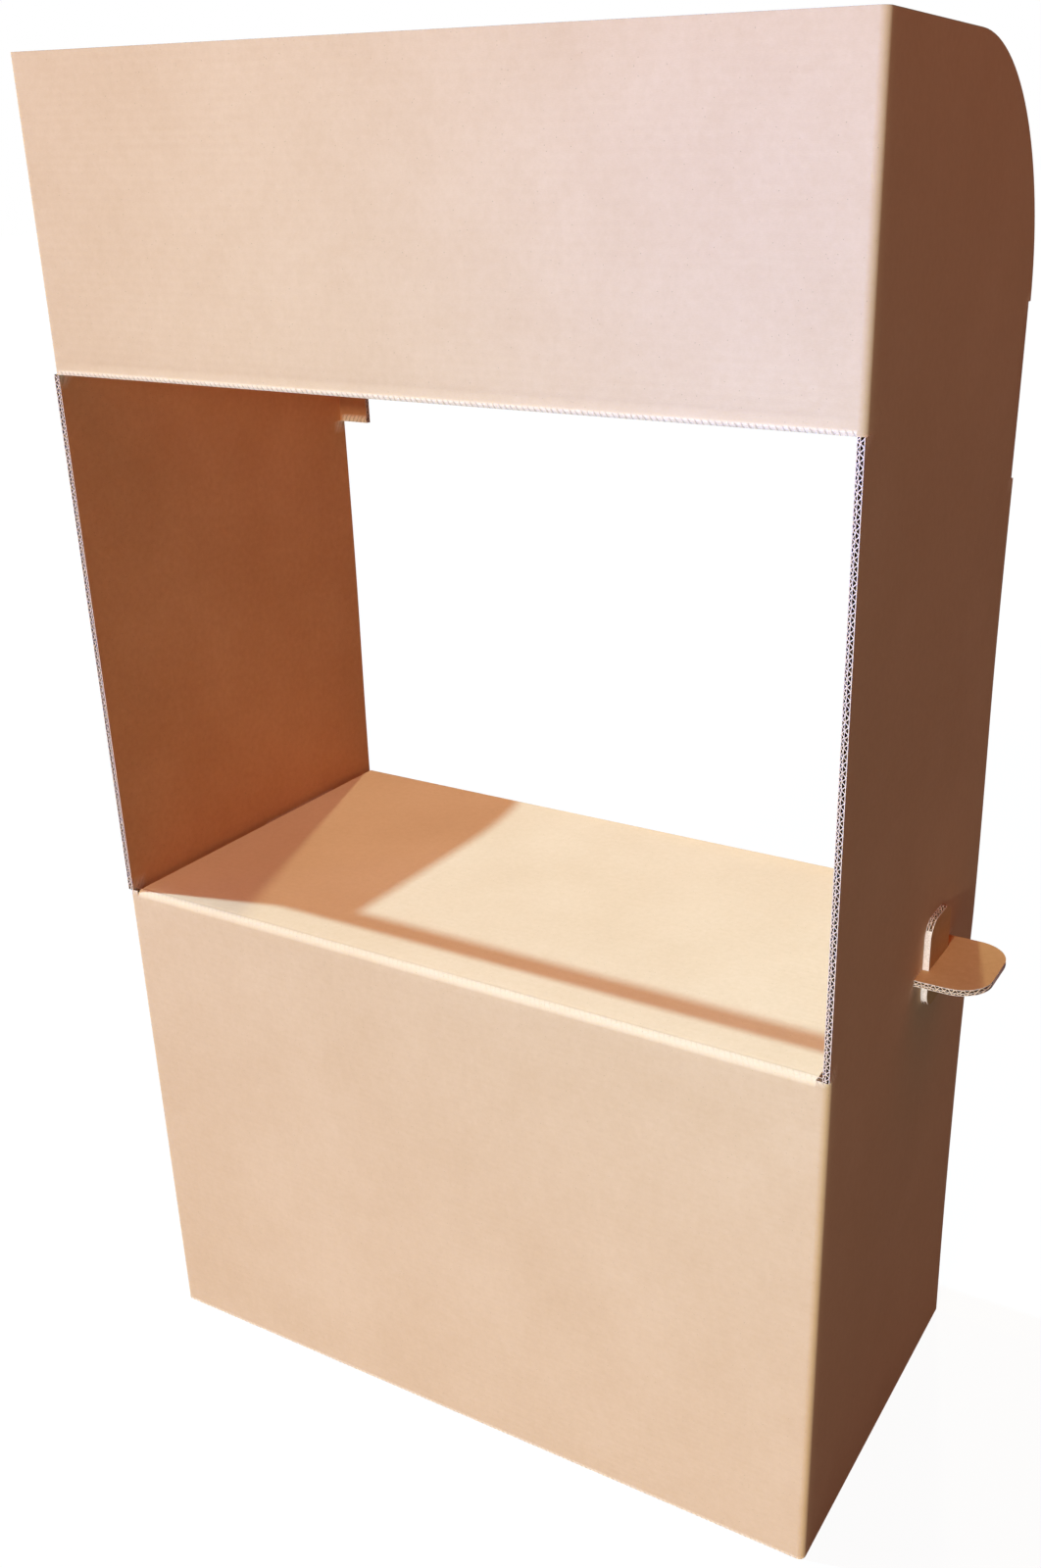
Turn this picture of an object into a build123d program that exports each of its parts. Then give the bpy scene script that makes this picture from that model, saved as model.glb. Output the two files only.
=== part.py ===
from build123d import *
import os

# Free-standing cardboard display stand, about chest high, with a serving window.
# The main body is one sheet of double-wall corrugated board. Its front and two
# sides stand in a U that is open at the back. The window is cut on three edges,
# and its board is folded back on the fourth to make the counter.
# A second board under the counter ends in a tongue on each side. Each tongue
# goes out through a slot in the side panel, and a key dropped through it locks it.
# X runs across the stand, Y from the front to the open back, and Z up. The origin
# is on the floor, in the middle of the width and of the depth. All sizes are in mm.

# Board
board = 7.0
fold_inner_radius = 1.0
fold_outer_radius = fold_inner_radius + board

# Whole stand
stand_width = 891.0
stand_depth = 456.0
stand_height = 1500.0
side_arc_radius = 230.0
half_width = stand_width / 2
front_face = -stand_depth / 2
rear_edge = stand_depth / 2
inner_half_width = half_width - board

# Window, header above it and counter below it
counter_height = 608.0
header_height = 300.0
counter_end_gap = 7.0
header_bottom = stand_height - header_height
window_height = header_bottom - counter_height
counter_width = 2 * (inner_half_width - counter_end_gap)

# The window's board is longer than the counter is deep, and the rest of it is
# folded down at the back as a lip.
lip_height = window_height - stand_depth

# Narrow flaps folded inward at the back edge of the side panels, below the arc
return_flap_width = 49.0
return_flap_bottom = 1094.0
return_flap_top = stand_height - side_arc_radius

# Support board below the counter
support_side_gap = 0.5
support_front_gap = 3.0
support_rear_gap = 3.0
support_top = counter_height - board
support_bottom = support_top - board
support_front = front_face + board + support_front_gap
support_rear = rear_edge - board - support_rear_gap
support_depth = support_rear - support_front
support_width = 2 * (inner_half_width - support_side_gap)

# Tongues of the support board, and their slots in the side panels
lock_from_front = 300.0
tongue_width = 120.0
tongue_reach = 74.0
tongue_corner_radius = 38.0
slot_clearance = 0.5
lock_y = front_face + lock_from_front
tongue_tip = half_width + tongue_reach

# Keys: they taper downward and are flush against the outside of the side panels
key_top_width = 69.0
key_foot_width = 64.0
key_rise = 56.0
key_drop = 42.0
key_corner_radius = 20.0
key_play = 0.3
key_slot_undercut = 2.0
key_height = key_drop + board + key_rise
key_top = support_top + key_rise
key_foot = support_bottom - key_drop
key_taper = (key_top_width - key_foot_width) / key_height
key_seat_width = key_foot_width + key_taper * (support_top - key_foot)
key_slot_inner = half_width - key_slot_undercut
key_slot_outer = half_width + key_play + board + key_play
key_slot_length = key_slot_outer - key_slot_inner
key_slot_width = key_seat_width + 2 * key_play

os.makedirs("parts", exist_ok=True)


with BuildPart() as stand_body:
    # Front wall below the counter and header above the window, each with the
    # stretches of the side panels that are folded back from it
    for level, height in ((0, counter_height), (header_bottom, header_height)):
        with BuildSketch(Plane.XY.offset(level)):
            with BuildLine():
                walls = FilletPolyline(
                    (-half_width, rear_edge),
                    (-half_width, front_face),
                    (half_width, front_face),
                    (half_width, rear_edge),
                    radius=fold_outer_radius,
                )
                offset(walls, amount=board, side=Side.LEFT)
            make_face()
        extrude(amount=height)

    # Side panels beside the window, whose front edges are cut square
    with BuildSketch(Plane.XY.offset(counter_height)):
        with Locations((half_width - board / 2, 0), (board / 2 - half_width, 0)):
            Rectangle(board, stand_depth)
    extrude(amount=window_height)

    # Counter: from the fold at the top of the front wall to the lip at the back
    with Locations((0, front_face + board / 2, counter_height)):
        Box(
            counter_width,
            board,
            2 * fold_outer_radius,
            mode=Mode.SUBTRACT,
        )
    with BuildSketch(Plane.YZ.offset(-counter_width / 2)):
        with BuildLine():
            counter = FilletPolyline(
                (front_face, counter_height - 2 * fold_outer_radius),
                (front_face, counter_height),
                (rear_edge, counter_height),
                (rear_edge, counter_height - lip_height),
                radius=fold_outer_radius,
            )
            offset(counter, amount=board, side=Side.RIGHT)
        make_face()
    extrude(amount=counter_width)

    # Return flaps: the square back corner of the panel gives way to the fold
    for side in (-1, 1):
        with BuildSketch(Plane.XY.offset(return_flap_bottom)):
            with Locations((side * half_width, rear_edge)):
                Rectangle(2 * fold_outer_radius, 2 * fold_outer_radius)
        extrude(amount=return_flap_top - return_flap_bottom, mode=Mode.SUBTRACT)
        with BuildSketch(Plane.XY.offset(return_flap_bottom)):
            with BuildLine():
                flap = FilletPolyline(
                    (side * half_width, rear_edge - 3 * fold_outer_radius),
                    (side * half_width, rear_edge),
                    (side * (half_width - return_flap_width), rear_edge),
                    radius=fold_outer_radius,
                )
                offset(flap, amount=board, side=Side.LEFT if side > 0 else Side.RIGHT)
            make_face()
        extrude(amount=return_flap_top - return_flap_bottom)

    # Upper back corners of the side panels, cut to a quarter circle
    with BuildSketch(Plane.YZ.offset(-half_width)) as corner:
        with Locations((rear_edge - side_arc_radius, stand_height - side_arc_radius)):
            Rectangle(
                side_arc_radius,
                side_arc_radius,
                align=(Align.MIN, Align.MIN),
            )
            Circle(side_arc_radius, mode=Mode.SUBTRACT)
    extrude(amount=stand_width, mode=Mode.SUBTRACT)

    # Slots in the side panels for the tongues of the support board
    slot_center_x = half_width - board / 2
    with Locations((slot_center_x, lock_y, 0), (-slot_center_x, lock_y, 0)):
        with Locations((0, 0, (support_bottom + support_top) / 2)):
            Box(
                board,
                tongue_width + 2 * slot_clearance,
                board + 2 * slot_clearance,
                mode=Mode.SUBTRACT,
            )

stand_body.part.label = "stand_body"
export_step(stand_body.part, "parts/stand_body.step")


with BuildPart() as counter_support:
    with BuildSketch(Plane.XY.offset(support_bottom)) as support_outline:
        with Locations((0, (support_front + support_rear) / 2)):
            Rectangle(support_width, support_depth)
        with Locations((0, lock_y)):
            Rectangle(2 * tongue_tip, tongue_width)
        fillet(
            support_outline.vertices().filter_by(lambda v: abs(v.X) > half_width),
            tongue_corner_radius,
        )
        slot_center_x = (key_slot_inner + key_slot_outer) / 2
        with Locations((slot_center_x, lock_y), (-slot_center_x, lock_y)):
            Rectangle(key_slot_length, key_slot_width, mode=Mode.SUBTRACT)
    extrude(amount=board)

counter_support.part.label = "counter_support"
export_step(counter_support.part, "parts/counter_support.step")


def make_key(inner_face):
    """One tapered key. Its inner face is at this place along X."""
    with BuildPart() as key:
        with BuildSketch(Plane.YZ.offset(inner_face)) as outline:
            with BuildLine():
                Polyline(
                    (lock_y - key_foot_width / 2, key_foot),
                    (lock_y + key_foot_width / 2, key_foot),
                    (lock_y + key_top_width / 2, key_top),
                    (lock_y - key_top_width / 2, key_top),
                    close=True,
                )
            make_face()
            fillet(outline.vertices(), key_corner_radius)
        extrude(amount=board)
    return key.part


lock_key_right = make_key(half_width + key_play)
lock_key_right.label = "lock_key_right"
export_step(lock_key_right, "parts/lock_key_right.step")

lock_key_left = make_key(-half_width - key_play - board)
lock_key_left.label = "lock_key_left"
export_step(lock_key_left, "parts/lock_key_left.step")
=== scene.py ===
import math

import bpy
from mathutils import Matrix, Vector, geometry, noise


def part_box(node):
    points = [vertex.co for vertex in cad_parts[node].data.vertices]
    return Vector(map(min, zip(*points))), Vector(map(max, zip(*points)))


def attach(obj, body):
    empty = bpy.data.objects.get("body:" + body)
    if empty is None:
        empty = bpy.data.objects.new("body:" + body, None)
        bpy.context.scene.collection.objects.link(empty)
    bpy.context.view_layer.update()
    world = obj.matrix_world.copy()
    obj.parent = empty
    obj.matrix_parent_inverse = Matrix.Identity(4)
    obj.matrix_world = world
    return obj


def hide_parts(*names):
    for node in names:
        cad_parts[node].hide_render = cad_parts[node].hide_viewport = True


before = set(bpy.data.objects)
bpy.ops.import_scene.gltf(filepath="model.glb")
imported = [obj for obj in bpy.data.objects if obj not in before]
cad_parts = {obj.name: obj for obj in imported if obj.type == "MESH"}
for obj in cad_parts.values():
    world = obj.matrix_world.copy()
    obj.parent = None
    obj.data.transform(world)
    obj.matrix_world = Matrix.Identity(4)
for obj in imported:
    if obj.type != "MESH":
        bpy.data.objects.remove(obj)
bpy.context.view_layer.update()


# The folded sheet: one die-cut sheet of double-wall board with brown kraft on both faces,
# scored and folded into front wall, side panels, return flaps, header, counter and lip.
# Nothing is glued, and the folds and the board under the counter keep it in shape.
mm = 0.001
sheet_low, sheet_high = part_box("stand_body")
half_width = sheet_high.x
front_y = sheet_low.y
rear_y = sheet_high.y
top_z = sheet_high.z

board = 7 * mm
fold_radius = 8 * mm
arc_radius = 230 * mm
counter_z = 608 * mm
header_z = 1200 * mm
counter_half = 431.5 * mm
lip_drop = 136 * mm
return_width = 49 * mm
return_low_z = 1094 * mm
return_high_z = top_z - arc_radius
lock_y = front_y + 300 * mm
slot_half = 60.5 * mm
slot_low_z = 593.5 * mm
slot_high_z = 601.5 * mm
fold_z = counter_z - fold_radius

# Depths of the board's layers below its outer face
outer_liner = 0.75 * mm
large_flute_end = 3.8 * mm
small_flute_start = 4.4 * mm
inner_liner_start = 6.35 * mm
large_flute_pitch = 7.7 * mm
small_flute_pitch = 6.4 * mm
open_depth = 6 * mm

# Spacing of the mesh on the flats, along the front edges, round a fold and round the
# quarter circle, the narrow strip along a cut edge, and how near counts as equal
wide_step = 16 * mm
fine_step = 6 * mm
fold_steps = 8
arc_steps = 30
edge_strip = 4 * mm
tolerance = 1e-6

# Bow of the side panels: how deep, how much of it is a belly beside the window or a
# lean at the top, how fast it grows toward the back, and how near the slot it starts
side_bow = 2.6 * mm
window_belly = 0.85
belly_squeeze = 1.35
top_lean = 0.2
bow_growth = 1.3
slot_margin = 8 * mm
front_bow = 0.8 * mm
header_bow_share = 0.6

# Unevenness of the bow and of the flaps' bead: how much, with how many waves to the
# metre in both directions, and a fixed seed
side_unevenness = 0.18
side_waves = (6, 5, 2.5)
front_unevenness = 0.35
front_waves = (5, 5, 7.5)
return_unevenness = 0.5
return_waves = (160, 90)

# Beads that the cutting rule leaves along crushed edges, as (height above the edge,
# depth or swelling) in millimetres, how they end, and the height of their worn rims
header_bead = ((0, 1.3), (1.2, 0.4), (3, 0.0), (5, 0.4), (6.5, 0.9), (14, 0.5))
header_bead_end = 16
return_bead = ((0, -0.6), (1.5, 0.7), (4, 1.2), (7, 0.7), (10, 0.0))
return_bead_start = 6 * mm
header_rim = 4 * mm
return_rim = 8 * mm


def steps_between(stops, step):
    """Values from the first stop to the last that pass through every stop."""
    values = [stops[0]]
    for low, high in zip(stops, stops[1:]):
        count = max(1, math.ceil(abs(high - low) / step - tolerance))
        values += [low + (high - low) * i / count for i in range(1, count + 1)]
    return values


def unevenness(across, up, waves):
    """Smooth noise from -1 to 1 over a face."""
    return noise.noise(Vector((across * waves[0], up * waves[1], waves[2])))


def side_sag(y, z):
    """How far a side panel leans inward here. Its front fold and its counter level stay true."""
    share = min(1.0, max(0.0, (y - front_y - fold_radius) / (rear_y - front_y)))
    hold_z = slot_low_z - slot_margin
    if z < hold_z:
        lift = math.sin(math.pi * z / hold_z)
    elif z < counter_z:
        lift = 0.0
    else:
        rise = (z - counter_z) / (top_z - counter_z)
        belly = math.sin(math.pi * min(1.0, belly_squeeze * rise)) ** 2
        lift = window_belly * belly + top_lean * rise
    wave = 1 + side_unevenness * unevenness(y, z, side_waves)
    return side_bow * lift * share ** bow_growth * wave


def between(stops, value):
    """The value read off straight lines through these (place, value) stops."""
    if value <= stops[0][0]:
        return stops[0][1]
    for (low, start), (high, end) in zip(stops, stops[1:]):
        if value <= high:
            return start + (end - start) * (value - low) / (high - low)
    return stops[-1][1]


def front_sag(x, z):
    """How far the front wall or the header lies behind a true plane, with the header's bead."""
    roll = 0.0
    if z < fold_z:
        lift = math.sin(math.pi * z / fold_z)
    elif z >= header_z:
        lift = header_bow_share * math.sin(math.pi * (z - header_z) / (top_z - header_z))
        roll = between(header_bead, (z - header_z) / mm) * mm
        roll *= 1 - (x / half_width) ** header_bead_end
    else:
        lift = 0.0
    middle = 1 - (x / half_width) ** 2
    wave = 1 + front_unevenness * unevenness(x, z, front_waves)
    return front_bow * max(0.0, lift) * middle * wave + roll


class Place:
    """A spot of a board: both its faces, its flute direction and its place on the flat blank.
    Sink presses it in, swell thickens it, and wear rubs its faces."""

    def __init__(self, outer, inward, flute, along, across, sink=0.0, swell=0.0, wear=0.0):
        inward = Vector(inward)
        self.outer = Vector(outer) + inward * sink
        self.inner = Vector(outer) + inward * (board + swell)
        self.thickness = inward
        self.flute = Vector(flute)
        self.along = along
        self.across = across
        self.wear = wear

    def at_depth(self, depth):
        """The spot in the board at this depth below its outer face."""
        return self.outer.lerp(self.inner, depth / board)


def wall_front(x, z):
    """On the front wall or the header, which is worn along its lower edge."""
    wear = 1.0 if 0 <= z - header_z + tolerance < header_rim else 0.0
    return Place(
        (x, front_y + front_sag(x, z), z), (0, 1, 0), (1, 0, 0), x, z, wear=wear)


def wall_corner(side, turn, z):
    """On the fold between front and side. The turn is 0 at the front and 1 at the side."""
    angle = turn * math.pi / 2
    x = half_width - fold_radius + fold_radius * math.sin(angle)
    y = front_y + fold_radius - fold_radius * math.cos(angle)
    inward = (-side * math.sin(angle), math.cos(angle), 0)
    flute = (math.cos(angle), side * math.sin(angle), 0)
    along = side * (half_width - fold_radius + fold_radius * angle)
    return Place((side * x, y, z), inward, flute, along, z)


side_start = half_width - fold_radius + fold_radius * math.pi / 2


def wall_side(side, y, z):
    """On a side panel."""
    x = half_width - side_sag(y, z)
    along = side * (side_start + y - front_y - fold_radius)
    return Place((side * x, y, z), (-side, 0, 0), (0, side, 0), along, z)


return_start = side_start + rear_y - front_y - 2 * fold_radius


def return_corner(side, turn, z):
    """On the fold of a return flap. The turn is 0 at the panel and 1 at the flap."""
    angle = turn * math.pi / 2
    sag = side_sag(rear_y - fold_radius, z)
    x = half_width - fold_radius + fold_radius * math.cos(angle) - sag
    y = rear_y - fold_radius + fold_radius * math.sin(angle)
    inward = (-side * math.cos(angle), -math.sin(angle), 0)
    flute = (-math.sin(angle), side * math.cos(angle), 0)
    along = side * (return_start + fold_radius * angle)
    return Place((side * x, y, z), inward, flute, along, z)


def return_flat(side, inset, z):
    """On the flat of a return flap, at this distance from the side panel's outer face."""
    x = half_width - inset - side_sag(rear_y - fold_radius, z)
    along = side * (return_start + fold_radius * (math.pi / 2 - 1) + inset)
    ripple = 1 + return_unevenness * unevenness(inset, z, (*return_waves, side))
    swell = between(return_bead, (z - return_low_z) / mm) * mm * ripple
    swell *= min(1.0, (inset - fold_radius) / return_bead_start)
    wear = 1.0 if z < return_low_z + return_rim else 0.0
    return Place(
        (side * x, rear_y, z), (0, -1, 0), (-1, 0, 0), along, z, swell=swell, wear=wear)


def arc_end(z):
    """Where a side panel ends at the back at this height."""
    rise = min(arc_radius, max(0.0, z - return_high_z))
    return rear_y - arc_radius + math.sqrt(arc_radius ** 2 - rise ** 2)


turns = [i / fold_steps for i in range(fold_steps + 1)]
panel_start = front_y + fold_radius
side_ys = steps_between(
    [panel_start, lock_y - slot_half, lock_y + slot_half, rear_y - fold_radius], wide_step)
arc_ys = side_ys + [rear_y]
front_xs = steps_between(
    [fold_radius - half_width, -counter_half, counter_half, half_width - fold_radius],
    fine_step)
low_zs = steps_between(
    [0, edge_strip, slot_low_z, fold_z, slot_high_z, counter_z], wide_step)
bead_zs = [return_low_z + rise * mm for rise, swell in return_bead]
window_zs = steps_between([counter_z] + bead_zs + [header_z], wide_step)
header_zs = steps_between(
    [header_z + rise * mm for rise, depth in header_bead] + [return_high_z], wide_step)
arc_zs = [
    return_high_z + arc_radius * math.sin(math.pi / 2 * i / arc_steps)
    for i in range(arc_steps + 1)
]


def cells_between(rows):
    """Four-cornered cells between rows that run to the right, seen from outside, and upward."""
    return [
        (low[i], low[i + 1], high[i + 1], high[i])
        for low, high in zip(rows, rows[1:])
        for i in range(len(low) - 1)
    ]


def side_row(side, ys, z):
    """A side panel at one height, drawn in to where the quarter circle ends it."""
    reach = (arc_end(z) - panel_start) / (rear_y - panel_start)
    row = [wall_side(side, panel_start + (y - panel_start) * reach, z) for y in ys]
    return row if side > 0 else row[::-1]


def wrap_row(z, ys):
    """Left panel, front and right panel at one height."""
    left = side_row(-1, ys, z) + [wall_corner(-1, t, z) for t in turns[-2:0:-1]]
    right = [wall_corner(1, t, z) for t in turns[1:-1]] + side_row(1, ys, z)
    return left + [wall_front(x, z) for x in front_xs] + right


def short_row(side, ys, z):
    """A part of a side panel at one height, between the given depths."""
    row = [wall_side(side, y, z) for y in ys]
    return row if side > 0 else row[::-1]


def return_row(side, z):
    """A return flap at one height, from its fold to its edge."""
    insets = steps_between([fold_radius, return_width], fine_step)
    row = [return_corner(side, t, z) for t in turns]
    row += [return_flat(side, inset, z) for inset in insets[1:]]
    return row if side > 0 else row[::-1]


def is_cut_away(cell):
    """True in the slots for the tongues, and where the counter is folded off the front wall."""
    middle = sum((corner.outer for corner in cell), Vector()) / len(cell)
    if middle.y < front_y + board:
        return middle.z > fold_z and abs(middle.x) < counter_half
    in_slot = slot_low_z < middle.z < slot_high_z and abs(middle.y - lock_y) < slot_half
    return in_slot and abs(middle.x) > half_width - board


sheet_cells = cells_between([wrap_row(z, side_ys) for z in low_zs])
sheet_cells = [cell for cell in sheet_cells if not is_cut_away(cell)]
sheet_cells += cells_between([wrap_row(z, side_ys) for z in header_zs])
sheet_cells += cells_between([wrap_row(z, arc_ys) for z in arc_zs])
square_zs = [z for z in low_zs + window_zs[1:] if z < return_low_z + tolerance]
return_zs = [z for z in window_zs[:-1] + header_zs if z > return_low_z - tolerance]
for side in (-1, 1):
    sheet_cells += cells_between([side_row(side, side_ys, z) for z in window_zs])
    sheet_cells += cells_between(
        [short_row(side, (front_y, panel_start), z) for z in window_zs])
    sheet_cells += cells_between(
        [short_row(side, (rear_y - fold_radius, rear_y), z) for z in square_zs])
    sheet_cells += cells_between([return_row(side, z) for z in return_zs])

# The counter's own path, up over the front fold with a pressed crease behind it,
# back to the rear fold and down the lip. The crease is (distance behind the fold,
# depth) in millimetres. The fold pales toward the counter, partly as whitened crease
# fibres and partly as a painted highlight.
fold_whitening_and_highlight = 0.35
pressed_crease = ((0.8, 0.9), (1.8, 0.7), (3.4, 0.2), (6.0, 0.0))
down = Vector((0, 0, -1))
counter_path = []
for turn in turns:
    angle = turn * math.pi / 2
    y = panel_start - fold_radius * math.cos(angle)
    z = fold_z + fold_radius * math.sin(angle)
    inward = Vector((0, math.cos(angle), -math.sin(angle)))
    counter_path.append((y, z, inward, 0.0, fold_whitening_and_highlight * turn))
for reach, sink in pressed_crease:
    counter_path.append((panel_start + reach * mm, counter_z, down, sink * mm, 0.0))
rear_fold_y = rear_y - fold_radius
crease_end_y = panel_start + pressed_crease[-1][0] * mm
for y in steps_between([crease_end_y, rear_fold_y], wide_step)[1:]:
    counter_path.append((y, counter_z, down, 0.0, 0.0))
for turn in turns[1:]:
    angle = turn * math.pi / 2
    y = rear_fold_y + fold_radius * math.sin(angle)
    z = fold_z + fold_radius * math.cos(angle)
    inward = Vector((0, -math.sin(angle), -math.cos(angle)))
    counter_path.append((y, z, inward, 0.0, 0.0))
lip_low_z = counter_z - lip_drop
for z in steps_between([fold_z, lip_low_z + edge_strip, lip_low_z], wide_step)[1:]:
    counter_path.append((rear_y, z, Vector((0, -1, 0)), 0.0, 0.0))

counter_xs = [x for x in front_xs if abs(x) < counter_half + tolerance]
counter_rows = []
across = fold_z
for i, (y, z, inward, sink, wear) in enumerate(counter_path):
    if i:
        across += math.hypot(y - counter_path[i - 1][0], z - counter_path[i - 1][1])
    counter_rows.append([
        Place((x, y, z), inward, (1, 0, 0), x, across, sink, wear=wear) for x in counter_xs])
sheet_cells += cells_between(counter_rows)

# Where a flute ends, the two fluted layers stay open between the liners a short way in.
# The back of each opening is painted near black as the shade of the tunnel beyond, and its
# walls are darkened with painted shade. Where the knife ran along the flutes, the edge is
# crushed shut and uneven. Each profile goes through the board as (depth, share of the open
# depth) or (depth, millimetres in).
open_profile = (
    (outer_liner, 0), (outer_liner, 1), (large_flute_end, 1), (large_flute_end, 0),
    (small_flute_start, 0), (small_flute_start, 1), (inner_liner_start, 1),
    (inner_liner_start, 0),
)
crushed_profile = (
    (outer_liner, 0.25), (large_flute_end, 0.9), (small_flute_start, 0.7),
    (inner_liner_start, 0.3),
)
# Kinds of face: the flute walls take darkened flute paper and the tunnel backs near-black
# painted shade
OUTER, INNER, CUT, FLUTE, TUNNEL_SHADE = range(5)
open_kinds = (CUT, FLUTE, TUNNEL_SHADE, FLUTE, CUT, FLUTE, TUNNEL_SHADE, FLUTE, CUT)

# How uneven a crushed edge is, how square an edge must cut the flutes to show their
# full depth, the shortest flute that gets its paper, and the sharpest smooth turn
crush_ripple = 1.1
crush_waves = 120
square_enough = 0.3
shortest_flute = open_depth / 4
smooth_degrees = 32


def add_to_scene(name, data):
    """A new object in the scene that shows this mesh, lamp or camera."""
    thing = bpy.data.objects.new(name, data)
    bpy.context.scene.collection.objects.link(thing)
    return thing


class Board:
    """A closed board built from cells. An edge that cuts the flutes no more squarely than
    the crush share is crushed shut: the share is 1 across them and 0 along them."""

    def __init__(self, cells, wears=False, crush=0.03):
        self.crush = crush
        self.points = []
        self.faces = []
        self.kinds = []
        self.flat = []
        self.index = {}
        self.edges = {}
        for cell in cells:
            flat = [(corner.along, corner.across) for corner in cell]
            self.add_face([corner.outer for corner in cell], OUTER, flat)
            self.add_face([corner.inner for corner in cell[::-1]], INNER, flat[::-1])
            for a, b in zip(cell, cell[1:] + cell[:1]):
                start, end = self.point(a.outer), self.point(b.outer)
                if (end, start) in self.edges:
                    del self.edges[end, start]
                else:
                    self.edges[start, end] = (a, b)
        self.after = {key[0]: key for key in self.edges}
        self.before = {key[1]: key for key in self.edges}
        self.share = {key: self.flute_share(*pair) for key, pair in self.edges.items()}
        for key in self.edges:
            self.close_edge(key)
        self.close_corners()
        self.worn = [0.0] * len(self.points)
        for place in [corner for cell in cells for corner in cell if corner.wear]:
            self.rub(place, place.wear)
        for key, pair in self.edges.items():
            if wears and not self.is_open(key):
                self.rub(pair[0], 1.0)
                self.rub(pair[1], 1.0)

    def rub(self, place, wear):
        """Wears both faces at this place."""
        self.worn[self.point(place.outer)] = wear
        self.worn[self.point(place.inner)] = wear

    def point(self, spot):
        """The number of the point at this spot, one for all within a micrometre."""
        key = (round(spot.x, 6), round(spot.y, 6), round(spot.z, 6))
        if key not in self.index:
            self.index[key] = len(self.points)
            self.points.append(Vector(spot))
        return self.index[key]

    def add_face(self, corners, kind, flat):
        """A face of one kind, without the corners that fall together."""
        indices = [self.point(corner) for corner in corners]
        kept = [i for i, index in enumerate(indices) if index != indices[i - 1]]
        if len(kept) > 2:
            self.faces.append([indices[i] for i in kept])
            self.kinds.append(kind)
            self.flat.append([flat[i] for i in kept])

    def outward(self, a, b):
        """Direction out of the board, in its plane, at the edge from a to b."""
        normal = -(a.thickness + b.thickness)
        return (b.outer - a.outer).cross(normal).normalized()

    def flute_share(self, a, b):
        """1 or -1 where the flutes end square on the edge, and 0 where they run along it."""
        return self.outward(a, b).dot((a.flute + b.flute).normalized())

    def is_open(self, key):
        """True where the flutes end at this edge and stay open."""
        return abs(self.share[key]) > self.crush

    def flute_inward(self, vertex, place):
        """From the cut edge along the flutes to the depth to which they are modelled."""
        shares = [
            self.share[key] for key in (self.before[vertex], self.after[vertex])
            if self.is_open(key)
        ]
        share = sum(shares) / len(shares)
        fade = min(1.0, abs(share) / square_enough)
        if len(shares) == 1 and abs(share) < square_enough:
            fade = 0.0
        return place.flute * (-math.copysign(1, share) * open_depth * fade)

    def edge_profile(self, key, vertex, place):
        """Points from the outer face to the inner one at this end of an edge."""
        if self.is_open(key):
            inward = self.flute_inward(vertex, place)
            middle = [place.at_depth(depth) + inward * part for depth, part in open_profile]
            return [place.outer] + middle + [place.inner]
        corner = self.is_open(self.before[vertex]) or self.is_open(self.after[vertex])
        directions = [
            self.outward(*self.edges[key])
            for key in (self.before[vertex], self.after[vertex])
        ]
        inward = -(directions[0] + directions[1]).normalized()
        points = [place.outer]
        for depth, crush in crushed_profile:
            spot = place.at_depth(depth)
            ripple = max(0.0, 1 + crush_ripple * noise.noise(spot * crush_waves))
            points.append(spot if corner else spot + inward * crush * ripple * mm)
        return points + [place.inner]

    def close_edge(self, key):
        """Faces through the board's thickness along one edge."""
        a, b = self.edges[key]
        profile_a = self.edge_profile(key, key[0], a)
        profile_b = self.edge_profile(key, key[1], b)
        flat_a, flat_b = (a.along, a.across), (b.along, b.across)
        for i in range(len(profile_a) - 1):
            kind = open_kinds[i] if self.is_open(key) else CUT
            corners = [profile_b[i], profile_a[i], profile_a[i + 1], profile_b[i + 1]]
            self.add_face(corners, kind, [flat_b, flat_a, flat_a, flat_b])

    def close_corners(self):
        """Ends of the open flutes where an open edge meets a crushed one."""
        layers = ((outer_liner, large_flute_end), (small_flute_start, inner_liner_start))
        for vertex, after in self.after.items():
            before = self.before[vertex]
            if self.is_open(before) == self.is_open(after):
                continue
            place = self.edges[before][1] if self.is_open(before) else self.edges[after][0]
            inward = self.flute_inward(vertex, place)
            for start, end in layers:
                near, far = place.at_depth(start), place.at_depth(end)
                corners = [near, near + inward, far + inward, far]
                if self.is_open(after):
                    corners.reverse()
                self.add_face(corners, FLUTE, [(place.along, place.across)] * 4)

    def mesh(self, name, materials):
        """The board as an object, with its flat coordinates and its wear."""
        mesh = bpy.data.meshes.new(name)
        mesh.from_pydata(self.points, [], self.faces)
        for material in materials:
            mesh.materials.append(material)
        mesh.polygons.foreach_set("material_index", self.kinds)
        flat = mesh.uv_layers.new(name="flat_sheet")
        flat.data.foreach_set(
            "uv", [value for corners in self.flat for place in corners for value in place])
        # Its wear on the counter's front fold also holds a painted highlight
        worn = mesh.attributes.new("worn", "FLOAT", "POINT")
        worn.data.foreach_set("value", self.worn)
        mesh.shade_smooth()
        mesh.set_sharp_from_angle(angle=math.radians(smooth_degrees))
        return add_to_scene(name, mesh)

    def open_chains(self):
        """The open edges as runs of places, each with its direction into the flutes."""
        chains = []
        for key in self.edges:
            if not self.is_open(key) or self.is_open(self.before[key[0]]):
                continue
            chain = [(self.edges[key][0], self.flute_inward(key[0], self.edges[key][0]))]
            while self.is_open(key):
                place = self.edges[key][1]
                chain.append((place, self.flute_inward(key[1], place)))
                key = self.after[key[1]]
            chains.append([spot for spot in chain if spot[1].length > shortest_flute])
        return chains


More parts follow.
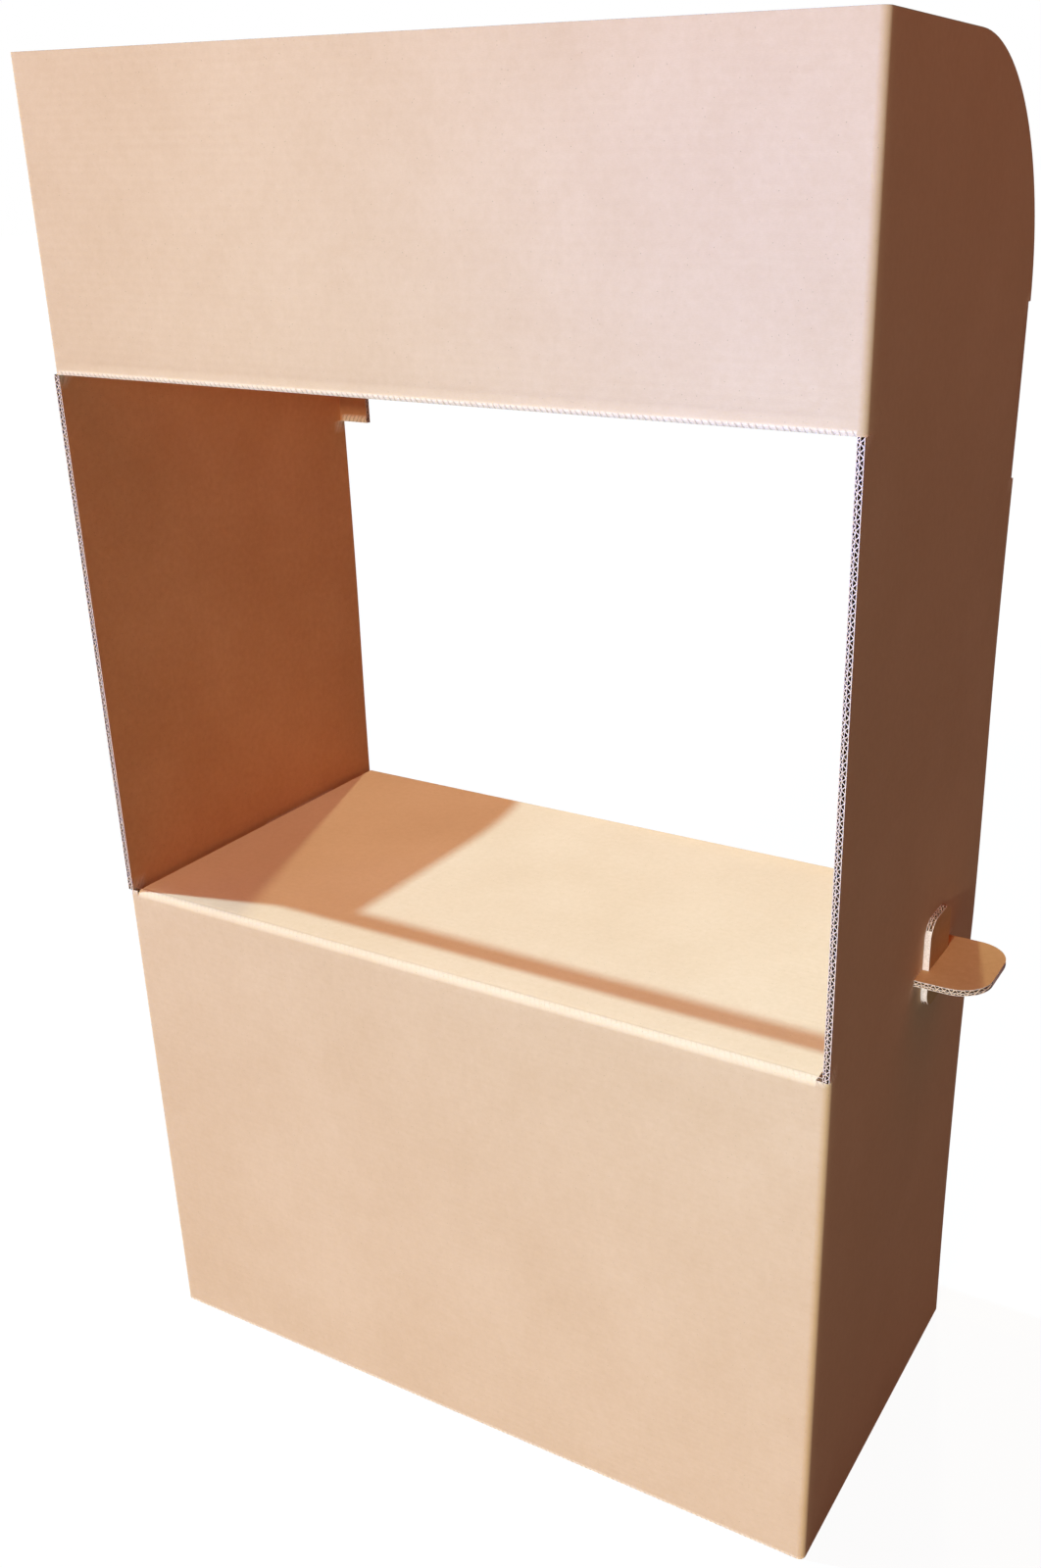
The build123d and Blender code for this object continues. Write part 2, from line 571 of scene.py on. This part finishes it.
def srgb(red, green, blue):
    """Linear colour of an sRGB colour given as 0 to 255."""
    linear = [
        value / 255 / 12.92 if value <= 10 else ((value / 255 + 0.055) / 1.055) ** 2.4
        for value in (red, green, blue)
    ]
    return (*linear, 1.0)


def add_node(tree, kind, inputs=None, **settings):
    """A node with its settings, and the values or links of its inputs."""
    node = tree.nodes.new(kind)
    for name, value in settings.items():
        setattr(node, name, value)
    for name, value in (inputs or {}).items():
        if isinstance(value, bpy.types.NodeSocket):
            tree.links.new(value, node.inputs[name])
        else:
            node.inputs[name].default_value = value
    return node


def calculate(tree, operation, *values, clamp=False):
    """The result of a Math node on these numbers or links."""
    return add_node(
        tree, "ShaderNodeMath", dict(enumerate(values)), operation=operation, use_clamp=clamp
    ).outputs[0]


def cover(tree, share, under, over):
    """One colour with this share of another over it."""
    return add_node(
        tree, "ShaderNodeMix", {0: share, 6: under, 7: over}, data_type="RGBA").outputs[2]


def empty_tree(owner):
    """The node tree of a material or of the surroundings, with nothing in it."""
    owner.use_nodes = True
    owner.node_tree.nodes.clear()
    return owner.node_tree


def add_noise(tree, vector, scale, detail=2.0, roughness=0.5):
    """Noise from 0 to 1 read at this vector."""
    return add_node(tree, "ShaderNodeTexNoise", {
        "Vector": vector, "Scale": scale, "Detail": detail, "Roughness": roughness,
    }).outputs["Fac"]


# The liner's finish: how rare, wide, strong and dark its flecks are, how far its ribs
# wander, what wear bares, and the toothed dents that the cutting rule leaves, which are
# darkened to the flecks' dark as painted shade in the dents
fleck_rarity = 0.975
fleck_reach = 0.2
fleck_strength = 0.7
fleck_and_dent_darkness = 0.5
rib_wander = 2.2
bared_gain = 1.6
rubbed_paper_and_fold_highlight = srgb(248, 221, 194)
rule_tooth = 6 * mm
tooth_slant = 0.6
tooth_wander = 5.0


def kraft_material(name, dark, middle, pale):
    """Kraft liner: clouded, fibrous, flecked, ribbed by its flutes and rubbed at its edges."""
    material = bpy.data.materials.new(name)
    tree = empty_tree(material)
    fleck_and_dent_shade = (*(channel * fleck_and_dent_darkness for channel in dark[:3]), 1.0)
    spot = add_node(tree, "ShaderNodeTexCoord").outputs["Object"]
    flat = add_node(tree, "ShaderNodeUVMap", uv_map="flat_sheet").outputs["UV"]
    cloud = add_noise(tree, spot, scale=7.0, detail=5.0, roughness=0.6)
    mottle = add_noise(tree, spot, scale=130.0, detail=4.0, roughness=0.65)
    stretched = add_node(tree, "ShaderNodeMapping", {
        "Vector": flat, "Scale": (260.0, 1500.0, 1.0)}).outputs[0]
    fibre = add_noise(tree, stretched, scale=1.0, detail=3.0, roughness=0.7)
    fleck = add_node(tree, "ShaderNodeTexVoronoi", {"Vector": spot, "Scale": 520.0})
    chance = add_node(tree, "ShaderNodeSeparateColor", {"Color": fleck.outputs["Color"]})
    chosen = calculate(tree, "GREATER_THAN", chance.outputs["Red"], fleck_rarity)
    near = calculate(tree, "LESS_THAN", fleck.outputs["Distance"], fleck_reach)
    flecks = calculate(tree, "MULTIPLY", chosen, near)
    flecks = calculate(tree, "MULTIPLY", flecks, fleck_strength)

    split = add_node(tree, "ShaderNodeSeparateXYZ", {"Vector": flat}).outputs
    drift = add_noise(tree, flat, scale=18.0)
    phase = calculate(tree, "MULTIPLY", split["Y"], 2 * math.pi / large_flute_pitch)
    phase = calculate(tree, "MULTIPLY_ADD", drift, rib_wander, phase)
    washboard = calculate(tree, "SINE", phase)

    tone = 0.0
    for source, share in ((cloud, 0.42), (mottle, 0.33), (fibre, 0.25), (washboard, 0.003)):
        tone = calculate(tree, "MULTIPLY_ADD", source, share, tone)
    ramp = add_node(tree, "ShaderNodeValToRGB", {"Fac": tone})
    ramp.color_ramp.elements[0].position = 0.36
    ramp.color_ramp.elements[0].color = dark
    ramp.color_ramp.elements[1].position = 0.64
    ramp.color_ramp.elements[1].color = pale
    ramp.color_ramp.elements.new(0.5).color = middle
    flecked = cover(tree, flecks, ramp.outputs["Color"], fleck_and_dent_shade)

    # Worn places show pale bared paper, which on the counter's front fold is partly painted
    # highlight
    worn = add_node(tree, "ShaderNodeAttribute", attribute_name="worn").outputs["Fac"]
    scuff = add_noise(tree, spot, scale=420.0, detail=3.0, roughness=0.6)
    wear = calculate(tree, "MULTIPLY", worn, scuff)
    bared = calculate(tree, "MULTIPLY", wear, bared_gain, clamp=True)
    rubbed = cover(tree, bared, flecked, rubbed_paper_and_fold_highlight)
    # The rule's tooth dents are pressed into the bump and painted dark as shade in them
    slant = calculate(tree, "MULTIPLY_ADD", split["Y"], tooth_slant, split["X"])
    teeth = calculate(tree, "MULTIPLY", slant, 2 * math.pi / rule_tooth)
    teeth = calculate(tree, "MULTIPLY_ADD", mottle, tooth_wander, teeth)
    teeth = calculate(tree, "SINE", teeth)
    tooth_dents_and_shade = add_node(tree, "ShaderNodeMapRange", {
        "Value": teeth, "From Min": 0.5, "From Max": 1.0, "To Max": 0.5}).outputs[0]
    tooth_dents_and_shade = calculate(tree, "MULTIPLY", tooth_dents_and_shade, worn)
    rubbed = cover(tree, tooth_dents_and_shade, rubbed, fleck_and_dent_shade)

    height = 0.0
    for source, share in (
        (washboard, 0.024), (fibre, 0.12), (mottle, 0.10), (wear, 1.1), (tooth_dents_and_shade, -0.8),
    ):
        height = calculate(tree, "MULTIPLY_ADD", source, share, height)
    bump = add_node(tree, "ShaderNodeBump", {
        "Height": height, "Strength": 0.55, "Distance": 0.0012})
    rough = add_node(tree, "ShaderNodeMapRange", {
        "Value": mottle, "To Min": 0.74, "To Max": 0.92})
    shader = add_node(tree, "ShaderNodeBsdfPrincipled", {
        "Base Color": rubbed, "Roughness": rough.outputs[0],
        "Normal": bump.outputs["Normal"], "Specular IOR Level": 0.14})
    add_node(tree, "ShaderNodeOutputMaterial", {"Surface": shader.outputs[0]})
    return material


def paper_edge_material(name, dark, pale, scale):
    """Pale fibres with darker pits, for cut paper and for paper darkened as painted shade."""
    material = bpy.data.materials.new(name)
    tree = empty_tree(material)
    spot = add_node(tree, "ShaderNodeTexCoord").outputs["Object"]
    fibres = add_noise(tree, spot, scale=scale, detail=4.0, roughness=0.7)
    ramp = add_node(tree, "ShaderNodeValToRGB", {"Fac": fibres})
    ramp.color_ramp.elements[0].position = 0.36
    ramp.color_ramp.elements[0].color = dark
    ramp.color_ramp.elements[1].position = 0.58
    ramp.color_ramp.elements[1].color = pale
    bump = add_node(tree, "ShaderNodeBump", {
        "Height": fibres, "Strength": 0.6, "Distance": 0.0008})
    rough = add_node(tree, "ShaderNodeMapRange", {
        "Value": fibres, "To Min": 0.95, "To Max": 0.8})
    shader = add_node(tree, "ShaderNodeBsdfPrincipled", {
        "Base Color": ramp.outputs["Color"], "Roughness": rough.outputs[0],
        "Normal": bump.outputs["Normal"], "Specular IOR Level": 0.2})
    add_node(tree, "ShaderNodeOutputMaterial", {"Surface": shader.outputs[0]})
    return material


# The sheet's two liners, the scraps' liner, painted darker than the sheet's as shade, and
# their cut, painted whiter and cooler as light; the wavy papers, darkened with painted shade,
# and the near-black painted shade of the tunnels between them; with the scale of their fibres
cut_grain = 600.0
flute_grain = 300.0
outer_kraft = kraft_material(
    "outer_kraft", srgb(213, 178, 143), srgb(218, 184, 150), srgb(223, 190, 157))
inner_kraft = kraft_material(
    "inner_kraft", srgb(208, 146, 98), srgb(216, 155, 107), srgb(224, 164, 116))
# The scraps' liner is the sheet's outer liner painted darker and more orange as shade
scrap_kraft_painted_shade = kraft_material(
    "scrap_kraft_painted_shade", srgb(200, 158, 113), srgb(208, 168, 123), srgb(216, 178, 134))
cut_paper = paper_edge_material(
    "cut_paper", srgb(218, 186, 170), srgb(246, 216, 200), cut_grain)
# The scraps' cut is the sheet's cut paper painted whiter and cooler as light at the lock
scrap_cut_paper_painted_light = paper_edge_material(
    "scrap_cut_paper_painted_light", srgb(218, 205, 208), srgb(243, 230, 236), cut_grain)
# The wavy papers' brown, darkened further with painted shade for the inside of the flutes
flute_paper_and_shade = paper_edge_material(
    "flute_paper_and_shade", srgb(84, 54, 36), srgb(122, 84, 58), flute_grain)
tunnel_painted_shade = paper_edge_material(
    "tunnel_painted_shade", srgb(26, 15, 10), srgb(44, 27, 18), flute_grain)
board_materials = (outer_kraft, inner_kraft, cut_paper, flute_paper_and_shade, tunnel_painted_shade)
scrap_materials = (scrap_kraft_painted_shade, inner_kraft, scrap_cut_paper_painted_light, flute_paper_and_shade, tunnel_painted_shade)

sheet = Board(sheet_cells, wears=True)
folded_sheet = sheet.mesh("folded_sheet", board_materials)
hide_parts("stand_body")
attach(folded_sheet, "root")


# Fluted layers of the sheet: between its liners lie two wavy papers, glued at their crests,
# a large flute under the outer face and a small one under the inner face. They show as two
# rows of dark holes wherever the sheet is cut across the flutes.
flute_thickness = 0.9 * mm
flute_end_gap = 0.6 * mm
weld_gap = 0.01 * mm
flute_smooth_degrees = 40
wave_points = 8.0

# How far the paper lies back from the cut and reaches in from there, as shares of the
# depth to which the flutes are open
flute_recess = 0.03
flute_reach = 0.9


def fluting_tree():
    """Turns runs of cut edge into the wavy paper that shows at them."""
    tree = bpy.data.node_groups.new("fluting", "GeometryNodeTree")
    face = tree.interface
    face.new_socket("Geometry", in_out="INPUT", socket_type="NodeSocketGeometry")
    for name in ("Pitch", "Level", "Rise", "Paper", "Recess", "Phase", "End Gap"):
        face.new_socket(name, in_out="INPUT", socket_type="NodeSocketFloat")
    for name in ("Shaded Face Paper", "Cut Paper"):
        face.new_socket(name, in_out="INPUT", socket_type="NodeSocketMaterial")
    face.new_socket("Geometry", in_out="OUTPUT", socket_type="NodeSocketGeometry")
    given = tree.nodes.new("NodeGroupInput").outputs

    def read(name, kind):
        """What each point of the run carries under this name."""
        return add_node(
            tree, "GeometryNodeInputNamedAttribute", {"Name": name}, data_type=kind
        ).outputs["Attribute"]

    def stretch(vector, share):
        """The vector times this share."""
        return add_node(
            tree, "ShaderNodeVectorMath", {0: vector, "Scale": share}, operation="SCALE"
        ).outputs[0]

    def paper(mesh):
        """The mesh in the paper of the flutes' faces, darkened with painted shade."""
        return add_node(tree, "GeometryNodeSetMaterial", {
            "Geometry": mesh, "Material": given["Shaded Face Paper"]}).outputs[0]

    across = read("across", "FLOAT")
    thickness = read("thickness", "FLOAT_VECTOR")
    inward = read("inward", "FLOAT_VECTOR")
    curve = add_node(tree, "GeometryNodeMeshToCurve", {"Mesh": given["Geometry"]})
    gap = calculate(tree, "DIVIDE", given["Pitch"], wave_points)
    length = add_node(tree, "GeometryNodeSplineLength").outputs["Length"]
    short = calculate(tree, "SUBTRACT", length, given["End Gap"])
    trimmed = add_node(tree, "GeometryNodeTrimCurve", {
        "Curve": curve.outputs[0], 4: given["End Gap"], 5: short}, mode="LENGTH")
    line = add_node(tree, "GeometryNodeResampleCurve", {
        "Curve": trimmed.outputs[0], "Length": gap}, mode="LENGTH")

    count = calculate(tree, "DIVIDE", across, given["Pitch"])
    angle = calculate(tree, "MULTIPLY_ADD", count, 2 * math.pi, given["Phase"])
    wave = calculate(tree, "SINE", angle)
    swing = calculate(tree, "MULTIPLY_ADD", wave, 0.5, 0.5)
    depth = calculate(tree, "MULTIPLY_ADD", swing, given["Rise"], given["Level"])
    total = add_node(tree, "ShaderNodeVectorMath", {
        0: stretch(thickness, depth), 1: stretch(inward, given["Recess"])},
        operation="ADD")
    waved = add_node(tree, "GeometryNodeSetPosition", {
        "Geometry": line.outputs[0], "Offset": total.outputs[0]})
    edges = add_node(tree, "GeometryNodeCurveToMesh", {"Curve": waved.outputs[0]})
    ribbon = add_node(tree, "GeometryNodeExtrudeMesh", {
        "Mesh": edges.outputs[0], "Offset": stretch(inward, flute_reach),
        "Offset Scale": 1.0}, mode="EDGES")

    half = calculate(tree, "MULTIPLY", given["Paper"], -0.5)
    normal = add_node(tree, "GeometryNodeInputNormal").outputs[0]
    middle = add_node(tree, "GeometryNodeSetPosition", {
        "Geometry": ribbon.outputs["Mesh"], "Offset": stretch(normal, half)}).outputs[0]
    leaf = add_node(tree, "GeometryNodeExtrudeMesh", {
        "Mesh": middle, "Offset Scale": given["Paper"], "Individual": False},
        mode="FACES").outputs
    back = add_node(tree, "GeometryNodeFlipFaces", {"Mesh": middle}).outputs[0]
    both = add_node(tree, "GeometryNodeJoinGeometry")
    tree.links.new(paper(leaf["Mesh"]), both.inputs[0])
    tree.links.new(paper(back), both.inputs[0])
    closed = add_node(tree, "GeometryNodeMergeByDistance", {
        "Geometry": both.outputs[0], "Distance": weld_gap})
    real = add_node(tree, "GeometryNodeRealizeInstances", {"Geometry": closed.outputs[0]})
    edged = add_node(tree, "GeometryNodeSetMaterial", {
        "Geometry": real.outputs[0], "Selection": leaf["Side"],
        "Material": given["Cut Paper"]})
    add_node(tree, "NodeGroupOutput", {"Geometry": edged.outputs[0]})
    return tree


fluting = fluting_tree()


def add_flutes(name, chains, pitch, level, rise, phase):
    """One wavy paper along all the open edges of a board, as a plain mesh."""
    mesh = bpy.data.meshes.new(name + "_path")
    places = [spot for chain in chains for spot in chain]
    edges = []
    for number, chain in enumerate(chains):
        first = len(edges) + number
        edges += [(first + i, first + i + 1) for i in range(len(chain) - 1)]
    mesh.from_pydata([place.outer for place, inward in places], edges, [])
    for label, kind, field, values in (
        ("across", "FLOAT", "value", [place.across for place, inward in places]),
        ("thickness", "FLOAT_VECTOR", "vector",
         [part for place, inward in places for part in place.thickness]),
        ("inward", "FLOAT_VECTOR", "vector",
         [part for place, inward in places for part in inward]),
    ):
        mesh.attributes.new(label, kind, "POINT").data.foreach_set(field, values)
    path = add_to_scene(name + "_path", mesh)
    modifier = path.modifiers.new("fluting", "NODES")
    modifier.node_group = fluting
    values = {
        "Pitch": pitch, "Level": level, "Rise": rise, "Phase": phase,
        "Paper": flute_thickness, "Recess": flute_recess, "End Gap": flute_end_gap,
        "Shaded Face Paper": flute_paper_and_shade, "Cut Paper": cut_paper,
    }
    for socket in fluting.interface.items_tree:
        if socket.in_out == "INPUT" and socket.name in values:
            modifier[socket.identifier] = values[socket.name]
    shaped = path.evaluated_get(bpy.context.evaluated_depsgraph_get())
    flutes = add_to_scene(name, bpy.data.meshes.new_from_object(shaped))
    flutes.data.shade_smooth()
    flutes.data.set_sharp_from_angle(angle=math.radians(flute_smooth_degrees))
    path.modifiers.remove(modifier)
    bpy.data.objects.remove(path)
    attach(flutes, "root")


large_rise = large_flute_end - outer_liner
small_rise = inner_liner_start - small_flute_start


def add_both_flutes(name, piece, large_phase, small_phase):
    """Both wavy papers of a board. The phases are where their waves start."""
    chains = piece.open_chains()
    add_flutes(name + "_large_flutes", chains,
               large_flute_pitch, outer_liner, large_rise, large_phase)
    add_flutes(name + "_small_flutes", chains,
               small_flute_pitch, small_flute_start, small_rise, small_phase)


add_both_flutes("sheet", sheet, large_phase=0.0, small_phase=1.3)


# The board under the counter: a flat board of the same grade, which carries the counter over
# its whole depth. A rounded tongue at each side goes out through a slot in the side panel
# and rests on it, and the flutes run from front to back.
support_low, support_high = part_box("counter_support")
tongue_tip = support_high.x
support_half = 438 * mm
tongue_half = 60 * mm
tongue_round = 38 * mm
key_slot_near = 443.5 * mm
key_slot_far = 453.1 * mm
key_slot_half = 33.467 * mm

# Steps of a rounded corner, and how near its points may lie before they fall together
corner_steps = 14
merge_reach = 1e-7


def rounded_outline(corners):
    """The outline through these corners, each (x, y, radius), with its arcs in steps."""
    outline = []
    for i, (x, y, radius) in enumerate(corners):
        corner = Vector((x, y))
        if not radius:
            outline.append(corner)
            continue
        back = (Vector(corners[i - 1][:2]) - corner).normalized()
        on = (Vector(corners[(i + 1) % len(corners)][:2]) - corner).normalized()
        half = back.angle(on) / 2
        centre = corner + (back + on).normalized() * radius / math.sin(half)
        first = corner + back * radius / math.tan(half) - centre
        last = corner + on * radius / math.tan(half) - centre
        sweep = first.angle(last)
        for step in range(corner_steps + 1):
            part = step / corner_steps
            mixed = first * math.sin((1 - part) * sweep) + last * math.sin(part * sweep)
            outline.append(centre + mixed / math.sin(sweep))
    return outline


def flat_cells(outline, holes, place):
    """Triangles of a flat board inside its outline and outside its holes."""
    spots = []
    edges = []
    for loop in [outline] + holes:
        first = len(spots)
        spots += loop
        edges += [(first + i, first + (i + 1) % len(loop)) for i in range(len(loop))]
    inside_only = 1
    made = geometry.delaunay_2d_cdt(spots, edges, [], inside_only, merge_reach)
    cells = []
    for triangle in made[2]:
        corners = [made[0][i] for i in triangle]
        middle = sum(corners, Vector((0, 0))) / 3
        in_hole = any(
            min(p.x for p in hole) < middle.x < max(p.x for p in hole)
            and min(p.y for p in hole) < middle.y < max(p.y for p in hole)
            for hole in holes
        )
        if not in_hole:
            cells.append(tuple(place(corner.x, corner.y) for corner in corners))
    return cells


support_corners = [
    (-support_half, support_low.y, 0), (support_half, support_low.y, 0),
    (support_half, lock_y - tongue_half, 0),
    (tongue_tip, lock_y - tongue_half, tongue_round),
    (tongue_tip, lock_y + tongue_half, tongue_round),
    (support_half, lock_y + tongue_half, 0),
    (support_half, support_high.y, 0), (-support_half, support_high.y, 0),
    (-support_half, lock_y + tongue_half, 0),
    (-tongue_tip, lock_y + tongue_half, tongue_round),
    (-tongue_tip, lock_y - tongue_half, tongue_round),
    (-support_half, lock_y - tongue_half, 0),
]
key_slots = []
for side in (-1, 1):
    near, far = sorted((side * key_slot_near, side * key_slot_far))
    low, high = lock_y - key_slot_half, lock_y + key_slot_half
    key_slots.append([
        Vector(spot) for spot in ((near, low), (far, low), (far, high), (near, high))])


def support_place(x, y):
    """On the support board, whose flutes run from front to back."""
    return Place((x, y, support_high.z), (0, 0, -1), (0, 1, 0), y, x)


support = Board(flat_cells(rounded_outline(support_corners), key_slots, support_place))
support_board = support.mesh("support_board", scrap_materials)
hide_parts("counter_support")
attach(support_board, "root")
add_both_flutes("support", support, large_phase=0.6, small_phase=0.0)


# Keys: two die-cut scraps of the same board, one for each tongue. Each is pushed down
# through the slot of its tongue, flat against the side panel, until its taper jams. The
# flutes run upright, so its rounded ends show them and its sides don't.
key_top_half = 34.5 * mm
key_foot_half = 32 * mm
key_round = 20 * mm

# The share at which a rounded corner turns from an open end into a crushed side
crushed_below = 0.5


def add_key(side, node, name):
    """The key on one side. It narrows toward its foot and all its corners are round."""
    low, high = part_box(node)
    outer_x = high.x if side > 0 else low.x
    corners = [
        (-key_foot_half, low.z, key_round), (key_foot_half, low.z, key_round),
        (key_top_half, high.z, key_round), (-key_top_half, high.z, key_round),
    ]

    def place(across, z):
        """On the key, whose outer face is turned away from the side panel."""
        spot = (outer_x, lock_y + side * across, z)
        return Place(spot, (-side, 0, 0), (0, 0, 1), z, spot[1])

    key = Board(flat_cells(rounded_outline(corners), [], place), crush=crushed_below)
    piece = key.mesh(name, scrap_materials)
    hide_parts(node)
    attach(piece, "root")
    add_both_flutes(name, key, large_phase=0.4, small_phase=0.9)


add_key(1, "lock_key_right", "right_key")
add_key(-1, "lock_key_left", "left_key")


# Floor, light and camera: the stand is seen from its right and from above. A cool lamp
# hangs over it and a plain one stands before it. Weak coloured ones tint the shade as its
# room does, because the white surroundings give hardly any light of their own.
floor_reach = 30
floor_corners = [
    (-floor_reach, -floor_reach, 0), (floor_reach, -floor_reach, 0),
    (floor_reach, floor_reach, 0), (-floor_reach, floor_reach, 0),
]
floor_mesh = bpy.data.meshes.new("floor")
floor_mesh.from_pydata(floor_corners, [], [(0, 1, 2, 3)])
floor = add_to_scene("floor", floor_mesh)


def seen_directly(tree):
    """1 for what the picture, a gloss or glass sees, and 0 for light that falls on things."""
    rays = add_node(tree, "ShaderNodeLightPath").outputs
    seen = calculate(tree, "MAXIMUM", rays["Is Camera Ray"], rays["Is Glossy Ray"])
    return calculate(tree, "MAXIMUM", seen, rays["Is Transmission Ray"])


# The floor is white with a faint shadow to the eye, and throws back a little warm light
floor_tint = (1.0, 0.7, 0.55, 1.0)
shadow_grey = (0.9, 0.9, 0.9, 1.0)
glow_share = 0.95
floor_paint = bpy.data.materials.new("floor_paint")
tree = empty_tree(floor_paint)
seen = seen_directly(tree)
spot = add_node(tree, "ShaderNodeTexCoord").outputs["Object"]
paint = add_node(tree, "ShaderNodeMapRange", {
    "Value": add_noise(tree, spot, scale=60.0), "To Min": 0.09, "To Max": 0.11})
tint = add_node(tree, "ShaderNodeMix", {
    0: 1.0, 6: paint.outputs[0], 7: floor_tint}, data_type="RGBA", blend_type="MULTIPLY")
dull = add_node(tree, "ShaderNodeBsdfDiffuse", {"Color": tint.outputs[2]})
bright = add_node(tree, "ShaderNodeBsdfDiffuse", {"Color": shadow_grey})
white = add_node(tree, "ShaderNodeEmission", {"Strength": 1.0})
shadowed = add_node(tree, "ShaderNodeMixShader", {
    0: glow_share, 1: bright.outputs[0], 2: white.outputs[0]})
either = add_node(tree, "ShaderNodeMixShader", {
    0: seen, 1: dull.outputs[0], 2: shadowed.outputs[0]})
add_node(tree, "ShaderNodeOutputMaterial", {"Surface": either.outputs[0]})
floor_mesh.materials.append(floor_paint)

# The surroundings are white to the eye, and shine a weak brownish red from above
shade_tint = (1.0, 0.14, 0.0, 1.0)
shade_strength = 0.44
world = bpy.data.worlds.new("surroundings")
bpy.context.scene.world = world
tree = empty_tree(world)
seen = seen_directly(tree)
toward = add_node(tree, "ShaderNodeTexCoord").outputs["Generated"]
height = add_node(tree, "ShaderNodeSeparateXYZ", {"Vector": toward}).outputs["Z"]
glow = add_node(tree, "ShaderNodeMapRange", {
    "Value": height, "From Min": 0.2, "From Max": 1.0, "To Max": shade_strength})
shade = add_node(tree, "ShaderNodeBackground", {
    "Color": shade_tint, "Strength": glow.outputs[0]})
white = add_node(tree, "ShaderNodeBackground", {
    "Color": (1.0, 1.0, 1.0, 1.0), "Strength": 1.0})
either = add_node(tree, "ShaderNodeMixShader", {
    0: seen, 1: shade.outputs[0], 2: white.outputs[0]})
add_node(tree, "ShaderNodeOutputWorld", {"Surface": either.outputs[0]})


def add_sun(name, travels, strength, colour, spread):
    """A distant lamp whose light travels this way. The spread is in degrees."""
    lamp = bpy.data.lights.new(name, "SUN")
    lamp.energy = strength
    lamp.color = colour
    lamp.angle = math.radians(spread)
    sun = add_to_scene(name, lamp)
    sun.rotation_mode = "QUATERNION"
    sun.rotation_quaternion = Vector(travels).to_track_quat("-Z", "Y")


def add_softbox(name, place, shines, size, power, colour):
    """A square lamp that the picture doesn't show, at this place and facing this way."""
    lamp = bpy.data.lights.new(name, "AREA")
    lamp.energy = power
    lamp.color = colour
    lamp.size = size
    box = add_to_scene(name, lamp)
    turn = Vector(shines).to_track_quat("-Z", "Y").to_matrix().to_4x4()
    box.matrix_world = Matrix.Translation(place) @ turn
    box.visible_camera = False


add_sun("overhead_lamp", travels=(0.307, 0.082, -1), strength=2.8,
        colour=(0.50, 1.04, 1.42), spread=1.4)
add_sun("front_lamp", travels=(-0.025, 1, -0.24), strength=3.2,
        colour=(0.94, 0.93, 0.75), spread=6)
add_sun("level_lamp", travels=(1, 1, -0.03), strength=2.0,
        colour=(0.0, 0.16, 0.95), spread=6)
add_sun("rear_lamp", travels=(0.355, -1, -0.6), strength=1.4,
        colour=(0.98, 1.04, 0.70), spread=3)
add_sun("left_lamp", travels=(1, -0.03, -0.25), strength=1.2,
        colour=(1.2, 0.95, 0.0), spread=5)
add_softbox("header_box", place=(0.34, -0.7, 1.33), shines=(0.5, 1, 0), size=0.2,
            power=1.0, colour=(0.0, 0.05, 1.2))
add_softbox("window_box", place=(0.45, -1.1, 1.15), shines=(0, 1, 0), size=0.5,
            power=2.4, colour=(0.18, 0.88, 1.0))
add_softbox("ceiling_box", place=(0.3, 0.1, 2.3), shines=(0, 0, -1), size=2.0,
            power=6.2, colour=(1.0, 0.16, 0.0))

camera_place = (0.86772, -1.38366, 1.39447)
camera_right = Vector((0.87634, 0.48168, -0.00476))
camera_down = Vector((0.18466, -0.34507, -0.92023))
camera_forward = Vector((-0.44490, 0.80555, -0.39134))
lens = bpy.data.cameras.new("camera")
lens.sensor_width = 36
lens.lens = 35.163
lens.shift_x = -0.0666
lens.shift_y = 0.0226
camera = add_to_scene("camera", lens)
camera.matrix_world = Matrix.Translation(camera_place) @ Matrix(
    (camera_right, -camera_down, -camera_forward)).transposed().to_4x4()
bpy.context.scene.camera = camera
bpy.context.scene.view_settings.view_transform = "Standard"
